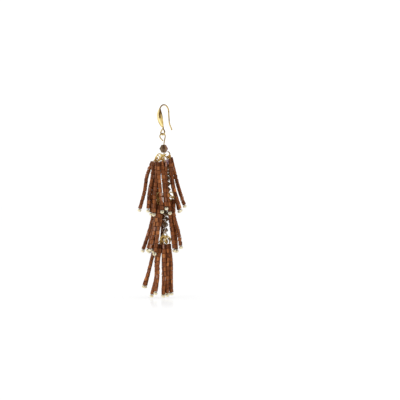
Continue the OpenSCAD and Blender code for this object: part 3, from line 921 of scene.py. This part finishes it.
# One strand as two pieces: its tubes with all thread, and its stop bead
def makeStrand(tier, i):
    row = strandRoutes[tier][i]
    route = [Vector((x, y, hubs["middles"][tier].z + z)) for x, y, z in row[3]]
    line = strandLine(route)
    line[0] -= tubeBead["rise"] * (line[1] - line[0]).normalized()
    bm = bmesh.new()
    addTubes(bm, line, tier)
    beads = len(bm.faces)
    sweepWire(bm, line[:: thread["every"]] + line[-1:], thread["inner"], thread["sides"])
    place, reach = stopPlace(route, row[2])
    addStopLoop(bm, place, reach, row[2])
    threads = len(bm.faces)
    addTie(bm, tier, row, line)
    bm.faces.ensure_lookup_table()
    looks = [brownBeadGlass, beadingThread, goldenTie]
    for face in bm.faces[beads:threads]:
        face.material_index = looks.index(beadingThread)
    for face in bm.faces[threads:]:
        face.material_index = looks.index(goldenTie)
    node = f"t{tier + 1}_strand_{i + 1}"
    finishPiece(bm, f"tier{tier + 1}Strand{i + 1}", "drop", looks, [node])
    bm = bmesh.new()
    bm.from_mesh(stopTemplate)
    bmesh.ops.transform(bm, matrix=Matrix.Scale(mm, 4) @ place, verts=bm.verts)
    name, angle = f"tier{tier + 1}StopBead{i + 1}", stopBead["smoothAngle"]
    finishPiece(bm, name, "drop", [champagneBead], [node], angle)


for tier in range(len(strandRoutes)):
    for i in range(len(strandRoutes[tier])):
        makeStrand(tier, i)
bpy.data.meshes.remove(tubeTemplate)
bpy.data.meshes.remove(stopTemplate)
print("strands made")

# Studio: a pale floor just under the tassel, soft light, and the photograph's long lens
studio = {
    "floorSize": 12,  # in metres, and half of its width
    "floorGap": 0.3,
    "floorTone": 0.3,
    "floorGlow": 0.68,
    "sheen": 0.2,
    "sheenReach": 185,
    "lens": 180,
    "clip": (0.05, 60),
    "distance": 1200,
    "aim": (21.55, -56.7),
    "background": 1.1,
    # What soft mirrors see round the room, from behind the earring by its right, front and left
    "wall": [
        (0.0, (0.2, 0.12, 0.06)),
        (0.14, (0.2, 0.12, 0.06)),
        (0.24, (0.9, 0.78, 0.58)),
        (0.4, (0.58, 0.47, 0.3)),
        (0.6, (0.56, 0.45, 0.28)),
        (0.632, (1.0, 0.9, 0.7)),
        (0.655, (0.14, 0.07, 0.025)),
        (0.72, (0.14, 0.07, 0.025)),
        (0.75, (1.15, 1.1, 0.95)),
        (0.85, (0.95, 0.9, 0.75)),
        (0.92, (0.4, 0.28, 0.16)),
    ],
    "ceiling": [
        (0.0, (0.12, 0.06, 0.025)),
        (0.7, (0.12, 0.06, 0.025)),
        (0.75, (1.1, 1.05, 0.9)),
        (0.86, (1.1, 1.05, 0.9)),
        (0.92, (0.12, 0.06, 0.025)),
    ],
    # Sines of the heights over which the ceiling takes over from the wall, and below, the ground
    "ceilingFrom": (-0.05, 0.2),
    "ground": [
        (0.0, (0.6, 0.48, 0.28)),
        (0.62, (0.75, 0.64, 0.42)),
        (0.7, (0.9, 0.84, 0.66)),
        (0.75, (1.5, 1.45, 1.3)),
        (0.81, (0.85, 0.78, 0.58)),
    ],
    "groundFrom": (-0.24, -0.38),
    "lightsTarget": (0, 0, -60),
    "lights": [  # place in the drop's frame in millimetres, size, power
        ((-420, -520, 260), 300, 0.6),
        ((520, -420, 120), 160, 0.2),
        ((0, -200, 620), 360, 0.4),
        ((-200, 480, 200), 300, 0.2),
    ],
}


# The floor, whose faint mirror fades out round the tassel
def makeFloor():
    bm = bmesh.new()
    bmesh.ops.create_grid(bm, x_segments=1, y_segments=1, size=studio["floorSize"])
    bmesh.ops.translate(bm, vec=(0, 0, cadBox[0][2] - studio["floorGap"] * mm), verts=bm.verts)
    mesh = bpy.data.meshes.new("studioFloor")
    bm.to_mesh(mesh)
    bm.free()
    floor = bpy.data.objects.new("studioFloor", mesh)
    bpy.context.scene.collection.objects.link(floor)
    floor.visible_glossy = False  # the room reaches down below it for the metal
    material, nodes, links, shader = newMaterial("paleFloor", {"Roughness": 0.9})
    shader.inputs["Base Color"].default_value = (*[studio["floorTone"]] * 3, 1)
    shader.inputs["Specular IOR Level"].default_value = 0
    shader.inputs["Emission Color"].default_value = (1, 1, 1, 1)
    shader.inputs["Emission Strength"].default_value = studio["floorGlow"]
    glossy, mix, place, reach, fade = (
        nodes.new(kind)
        for kind in (
            "ShaderNodeBsdfGlossy",
            "ShaderNodeMixShader",
            "ShaderNodeTexCoord",
            "ShaderNodeVectorMath",
            "ShaderNodeMapRange",
        )
    )
    glossy.inputs["Roughness"].default_value = 0
    reach.operation = "LENGTH"
    fade.inputs["From Min"].default_value = -cadBox[0][2]
    fade.inputs["From Max"].default_value = studio["sheenReach"] * mm
    fade.inputs["To Min"].default_value = studio["sheen"]
    fade.inputs["To Max"].default_value = 0
    links.new(place.outputs["Object"], reach.inputs[0])
    links.new(reach.outputs["Value"], fade.inputs["Value"])
    links.new(fade.outputs["Result"], mix.inputs["Fac"])
    links.new(shader.outputs["BSDF"], mix.inputs[1])
    links.new(glossy.outputs["BSDF"], mix.inputs[2])
    links.new(mix.outputs["Shader"], nodes["Material Output"].inputs["Surface"])
    mesh.materials.append(material)


def makeLights():
    target = dropTurn @ Vector(studio["lightsTarget"]) * mm
    for n, (place, size, power) in enumerate(studio["lights"]):
        light = bpy.data.lights.new(f"softbox{n + 1}", "AREA")
        light.size, light.energy = size * mm, power
        box = bpy.data.objects.new(light.name, light)
        bpy.context.scene.collection.objects.link(box)
        box.visible_glossy = False  # the room alone is mirrored
        at = dropTurn @ Vector(place) * mm
        facing = (target - at).to_track_quat("-Z", "Y").to_matrix().to_4x4()
        box.matrix_world = Matrix.Translation(at) @ facing


# White to the camera. Soft mirrors see a wall of lit and dark stretches, a mostly dark ceiling and lit ground
def makeRoom():
    world = bpy.data.worlds.new("studioWorld")
    bpy.context.scene.world = world
    world.use_nodes = True
    nodes, links = world.node_tree.nodes, world.node_tree.links
    shown = nodes["Background"]
    mirrored, mix, path, place = (
        nodes.new(kind)
        for kind in (
            "ShaderNodeBackground",
            "ShaderNodeMixShader",
            "ShaderNodeLightPath",
            "ShaderNodeTexCoord",
        )
    )
    shown.inputs["Color"].default_value = (1, 1, 1, 1)
    shown.inputs["Strength"].default_value = studio["background"]
    sides = []
    for axis in (Vector((-1, 0, 0)), Vector((0, -1, 0)), Vector((0, 0, 1))):
        side = nodes.new("ShaderNodeVectorMath")
        side.operation = "DOT_PRODUCT"
        side.inputs[1].default_value = dropTurn @ axis
        links.new(place.outputs["Generated"], side.inputs[0])
        sides.append(side.outputs["Value"])
    bearing, share = nodes.new("ShaderNodeMath"), nodes.new("ShaderNodeMath")
    bearing.operation = "ARCTAN2"
    share.operation = "MULTIPLY_ADD"
    share.inputs[1].default_value, share.inputs[2].default_value = 1 / (2 * math.pi), 0.5
    links.new(sides[0], bearing.inputs[0])
    links.new(sides[1], bearing.inputs[1])
    links.new(bearing.outputs["Value"], share.inputs[0])
    blends = []  # each mixes two colours, at its inputs 6 and 7, into its output 2
    for ends in (studio["ceilingFrom"], studio["groundFrom"]):
        height, blend = nodes.new("ShaderNodeMapRange"), nodes.new("ShaderNodeMix")
        height.inputs["From Min"].default_value, height.inputs["From Max"].default_value = ends
        links.new(sides[2], height.inputs["Value"])
        blend.data_type = "RGBA"
        links.new(height.outputs["Result"], blend.inputs["Factor"])
        blends.append(blend)
    addRamp(nodes, links, share.outputs["Value"], blends[0].inputs[6], studio["wall"])
    addRamp(nodes, links, share.outputs["Value"], blends[0].inputs[7], studio["ceiling"])
    links.new(blends[0].outputs[2], blends[1].inputs[6])
    addRamp(nodes, links, share.outputs["Value"], blends[1].inputs[7], studio["ground"])
    links.new(blends[1].outputs[2], mirrored.inputs["Color"])
    soft = nodes.new("ShaderNodeMath")
    soft.operation = "SUBTRACT"
    soft.use_clamp = True
    links.new(path.outputs["Is Glossy Ray"], soft.inputs[0])
    links.new(path.outputs["Is Singular Ray"], soft.inputs[1])
    links.new(soft.outputs["Value"], mix.inputs["Fac"])
    links.new(shown.outputs["Background"], mix.inputs[1])
    links.new(mirrored.outputs["Background"], mix.inputs[2])
    links.new(mix.outputs["Shader"], nodes["World Output"].inputs["Surface"])


def makeCamera():
    camera = bpy.data.cameras.new("longLens")
    camera.lens = studio["lens"]
    camera.clip_start, camera.clip_end = studio["clip"]
    view = bpy.data.objects.new("longLens", camera)
    bpy.context.scene.collection.objects.link(view)
    stand = Vector((studio["aim"][0], -studio["distance"], studio["aim"][1])) * mm
    view.matrix_world = dropTurn @ Matrix.Translation(stand) @ turnBy(90, "X")
    bpy.context.scene.camera = view
    bpy.context.scene.view_settings.view_transform = "Standard"


makeFloor()
makeLights()
makeRoom()
makeCamera()
print("studio made")
